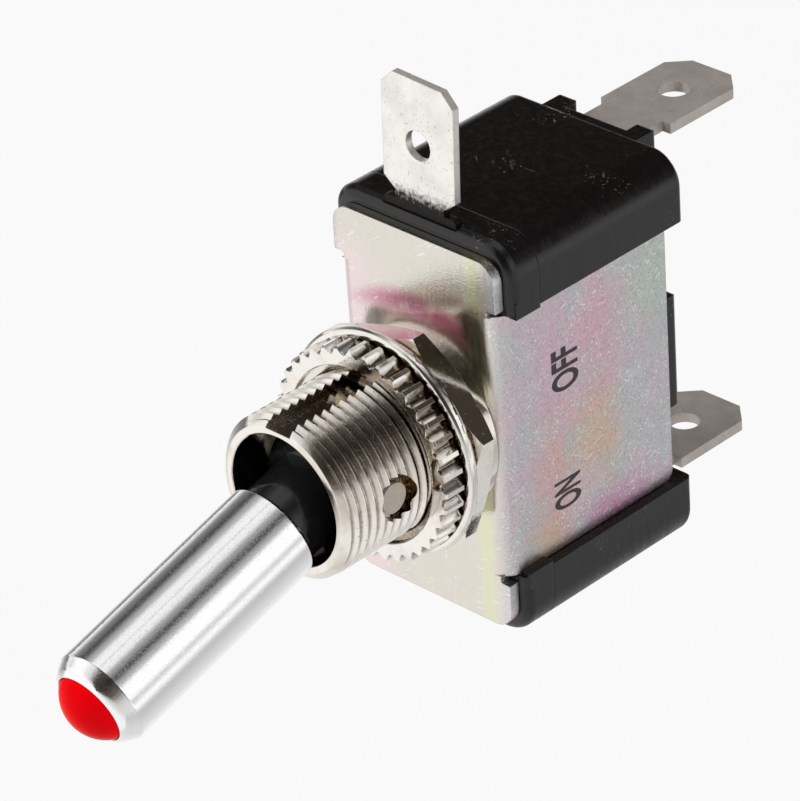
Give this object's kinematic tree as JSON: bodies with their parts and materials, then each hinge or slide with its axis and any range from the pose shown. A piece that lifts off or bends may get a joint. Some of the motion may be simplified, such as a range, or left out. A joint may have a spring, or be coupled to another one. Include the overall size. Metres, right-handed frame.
{
  "type": "panel toggle switch",
  "caption": "Panel toggle switch with a threaded bushing, a lit chromed lever, a folded steel bracket, a black housing and blade terminals.",
  "frame": {"origin": "on the bushing's axis, at the front face of the bracket's web", "axes": "-Y along the bushing out of the panel, +Z towards the OFF end, +X to the printed flange"},
  "size_m": [0.0166, 0.063, 0.04],
  "materials": {
    "passivated_steel": "zinc plated with a yellow iridescent passivation",
    "bright_nickel": "bright nickel plate",
    "pin_steel": "plain drawn steel",
    "lever_chrome": "polished chrome with fine scratches",
    "black_nylon": "glossy black moulding",
    "red_lens": "clear red lamp resin",
    "tinned_wire": "tinned",
    "resistor_body": "lacquered",
    "brass": "plain brass",
    "contact_silver": "silver alloy",
    "terminal_plate": "satin nickel or tin plated brass",
    "black_moulding": "satin black moulding"
  },
  "bodies": {
    "frame": {"bracket": "passivated_steel", "bushing": "bright_nickel", "hex_nut": "bright_nickel", "pivot_pin": "pin_steel", "supply_terminal": "terminal_plate", "fixed_contact": "contact_silver", "load_terminal": "terminal_plate", "rocker_support": "brass", "support_rivet": "brass", "ground_terminal": "terminal_plate", "ground_leaf": "brass", "housing_cover": "black_moulding", "housing_base": "black_moulding"},
    "dress_nut": {"dress_nut": "bright_nickel"},
    "lever": {"lever_tube": "lever_chrome", "actuator": "black_nylon", "led_lamp": "red_lens", "anode_lead": "tinned_wire", "series_resistor": "resistor_body", "cathode_lead": "tinned_wire"},
    "plunger": {"plunger": "brass", "plunger_spring": "pin_steel"},
    "rocker": {"rocker": "brass", "moving_contact": "contact_silver"}
  },
  "joints": [
    {"name": "lever_toggle", "type": "hinge", "parent": "frame", "child": "lever", "pos_m": [0, -0.00845, 0], "axis": [-1, 0, 0], "range_deg": [0, 32.6]},
    {"name": "rocker_tilt", "type": "hinge", "parent": "frame", "child": "rocker", "pos_m": [0, 0.00727, 0], "axis": [1, 0, 0], "range_deg": [0, 12]},
    {"name": "plunger_slide", "type": "slide", "parent": "lever", "child": "plunger", "axis": [0, -0.9598, -0.2807], "range_m": [0, 0.0012], "stiffness_N_per_m": 1500, "springref_m": -0.002, "deforming": ["plunger_spring"]},
    {"name": "dress_nut_travel", "type": "slide", "parent": "frame", "child": "dress_nut", "axis": [0, -1, 0], "range_m": [0, 0.0065]}
  ],
  "couplings": [
    {"joint": "rocker_tilt", "follows": "lever_toggle", "ratio": 0.3681}
  ]
}
